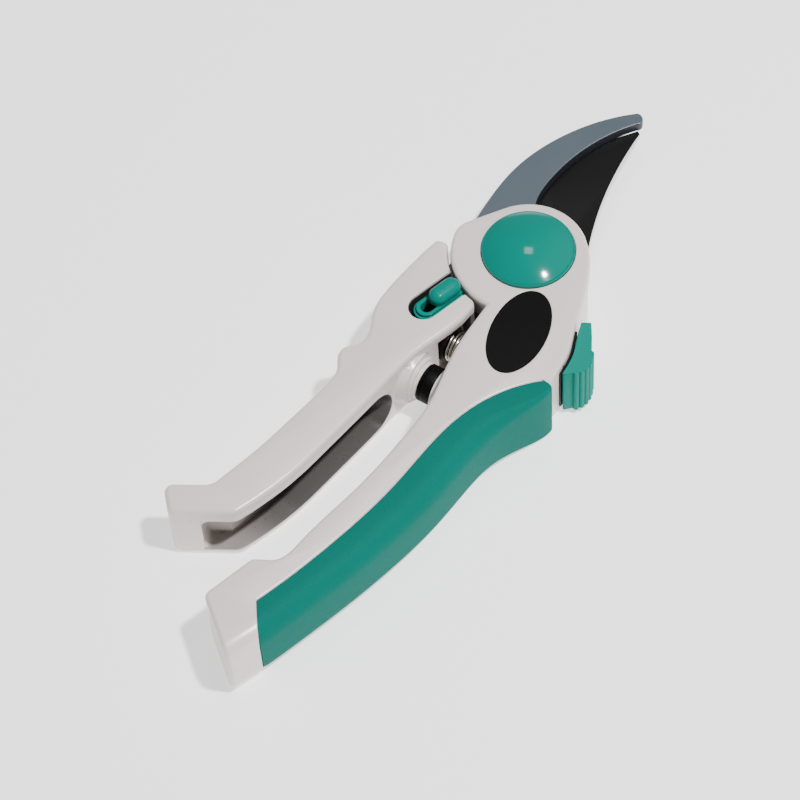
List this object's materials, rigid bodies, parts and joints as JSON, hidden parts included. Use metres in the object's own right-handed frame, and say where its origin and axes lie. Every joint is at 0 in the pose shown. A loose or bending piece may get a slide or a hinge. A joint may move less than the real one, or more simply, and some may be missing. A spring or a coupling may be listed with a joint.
{
  "type": "pruning shears",
  "caption": "Hand-held bypass pruning shears: curved hook and cutting blade on a capped pivot, rubber-gripped handle, flared lever with lock knob, return spring and bumper, ribbed thumb slider.",
  "frame": {"origin": "on the pivot axis, at the face the shears lie on (the pivot bolt's head)", "axes": "+Y to the blade tips, +Z along the pivot axis out through the cap, -X to the lever"},
  "size_m": [0.0744, 0.2076, 0.0248],
  "materials": {
    "painted_casting": "warm grey satin paint over die-cast aluminium",
    "grip_rubber": "matte green soft rubber",
    "cap_plastic": "glossy green moulded plastic",
    "slider_plastic": "satin green moulded plastic",
    "knob_plastic": "glossy green moulded plastic",
    "hook_coating": "satin blue-grey coating over steel",
    "blade_coating": "black non-stick coating over steel, bright at the edge",
    "bumper_rubber": "black rubber",
    "black_plastic": "matte black moulded plastic",
    "badge_black": "plain black badge",
    "bright_steel": "bright machined steel",
    "spring_steel": "bright plated spring wire",
    "bronze": "sintered bronze"
  },
  "bodies": {
    "body": {"body_casting": "painted_casting", "handle_grip": "grip_rubber", "hook_blade": "hook_coating", "hook_screws": "bright_steel", "pivot_bolt": "bright_steel", "thrust_washer": "black_plastic", "pivot_bush": "bronze", "lock_washer": "spring_steel", "pivot_nut": "bright_steel", "pivot_cap": "cap_plastic", "badge_plate": "badge_black", "spring_seat_body": "black_plastic", "slider_strip": "black_plastic"},
    "lever": {"lever_casting": "painted_casting", "cutting_blade": "blade_coating", "blade_screws": "bright_steel", "lock_guide": "knob_plastic", "bumper": "bumper_rubber", "bumper_screw": "bright_steel", "spring_seat_lever": "black_plastic", "handle_spring": "spring_steel", "detent_ball": "bright_steel", "detent_spring": "spring_steel"},
    "lock": {"lock_knob": "knob_plastic", "lock_bolt": "bright_steel", "lock_screw": "bright_steel"},
    "thumb": {"thumb_slider": "slider_plastic", "slider_plate": "bright_steel"}
  },
  "joints": [
    {"name": "lever_swing", "type": "hinge", "parent": "body", "child": "lever", "pos_m": [0, 0, 0.0085], "axis": [0, 0, -1], "range_deg": [0, 28], "deforming": ["handle_spring"]},
    {"name": "knob_slide", "type": "slide", "parent": "lever", "child": "lock", "axis": [-0.2924, -0.9563, 0], "range_m": [0, 0.0046]},
    {"name": "thumb_slide", "type": "slide", "parent": "body", "child": "thumb", "axis": [-0.1045, 0.9945, 0], "range_m": [0, 0.0055]}
  ]
}
